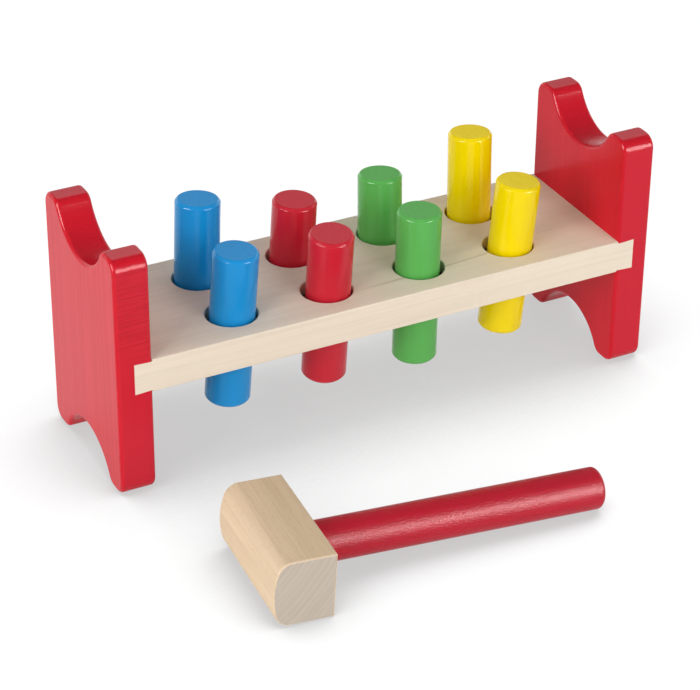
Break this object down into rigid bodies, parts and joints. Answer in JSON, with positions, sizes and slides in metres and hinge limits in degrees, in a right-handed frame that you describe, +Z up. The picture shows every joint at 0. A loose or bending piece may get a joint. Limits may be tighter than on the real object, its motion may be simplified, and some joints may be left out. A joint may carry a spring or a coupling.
{
  "type": "peg pounding bench",
  "caption": "Wooden toy bench: a board dovetailed into scalloped, painted end panels grips round pegs that a small mallet knocks through.",
  "frame": {"origin": "middle of the set's footprint, at floor level", "axes": "+X along the bench to its right-hand end, +Y to the back, +Z up"},
  "size_m": [0.285, 0.2077, 0.125],
  "materials": {
    "bare_board": "bare, sanded",
    "red_paint": "gloss paint over wood",
    "blue_paint": "gloss paint over wood",
    "green_paint": "gloss paint over wood",
    "yellow_paint": "gloss paint over wood",
    "bare_hardwood": "bare, sanded",
    "soft_rubber": "matte"
  },
  "bodies": {
    "bench": {"bench_board": "bare_board", "left_end_panel": "red_paint", "right_end_panel": "red_paint", "blue_front_grip_ring": "soft_rubber", "red_front_grip_ring": "soft_rubber", "green_front_grip_ring": "soft_rubber", "yellow_front_grip_ring": "soft_rubber", "blue_back_grip_ring": "soft_rubber", "red_back_grip_ring": "soft_rubber", "green_back_grip_ring": "soft_rubber", "yellow_back_grip_ring": "soft_rubber"},
    "blue_front_peg": {"blue_front_peg": "blue_paint"},
    "red_front_peg": {"red_front_peg": "red_paint"},
    "green_front_peg": {"green_front_peg": "green_paint"},
    "yellow_front_peg": {"yellow_front_peg": "yellow_paint"},
    "blue_back_peg": {"blue_back_peg": "blue_paint"},
    "red_back_peg": {"red_back_peg": "red_paint"},
    "green_back_peg": {"green_back_peg": "green_paint"},
    "yellow_back_peg": {"yellow_back_peg": "yellow_paint"},
    "mallet": {"mallet_head": "bare_hardwood", "mallet_handle": "red_paint"}
  },
  "joints": [
    {"name": "blue_front_peg_slide", "type": "slide", "parent": "bench", "child": "blue_front_peg", "axis": [0.0599, -0.03, 0.9978], "range_m": [-0.0235, 0.019]},
    {"name": "red_front_peg_slide", "type": "slide", "parent": "bench", "child": "red_front_peg", "axis": [0.01, -0.0797, 0.9968], "range_m": [-0.022, 0.0205]},
    {"name": "green_front_peg_slide", "type": "slide", "parent": "bench", "child": "green_front_peg", "axis": [0.02, 0.01, 0.9998], "range_m": [-0.021, 0.022]},
    {"name": "yellow_front_peg_slide", "type": "slide", "parent": "bench", "child": "yellow_front_peg", "axis": [0.0896, -0.01, 0.9959], "range_m": [-0.0245, 0.0175]},
    {"name": "blue_back_peg_slide", "type": "slide", "parent": "bench", "child": "blue_back_peg", "axis": [0.0598, 0.0499, 0.997], "range_m": [-0.031, 0.0115]},
    {"name": "red_back_peg_slide", "type": "slide", "parent": "bench", "child": "red_back_peg", "axis": [0.0499, -0.02, 0.9986], "range_m": [-0.0205, 0.022]},
    {"name": "green_back_peg_slide", "type": "slide", "parent": "bench", "child": "green_back_peg", "axis": [0.0299, 0.0797, 0.9964], "range_m": [-0.022, 0.0205]},
    {"name": "yellow_back_peg_slide", "type": "slide", "parent": "bench", "child": "yellow_back_peg", "axis": [0.0299, 0.0797, 0.9964], "range_m": [-0.033, 0.0095]},
    {"name": "mallet_lift", "type": "slide", "parent": "bench", "child": "mallet", "axis": [0, 0, 1], "range_m": [0, 0.15]}
  ]
}
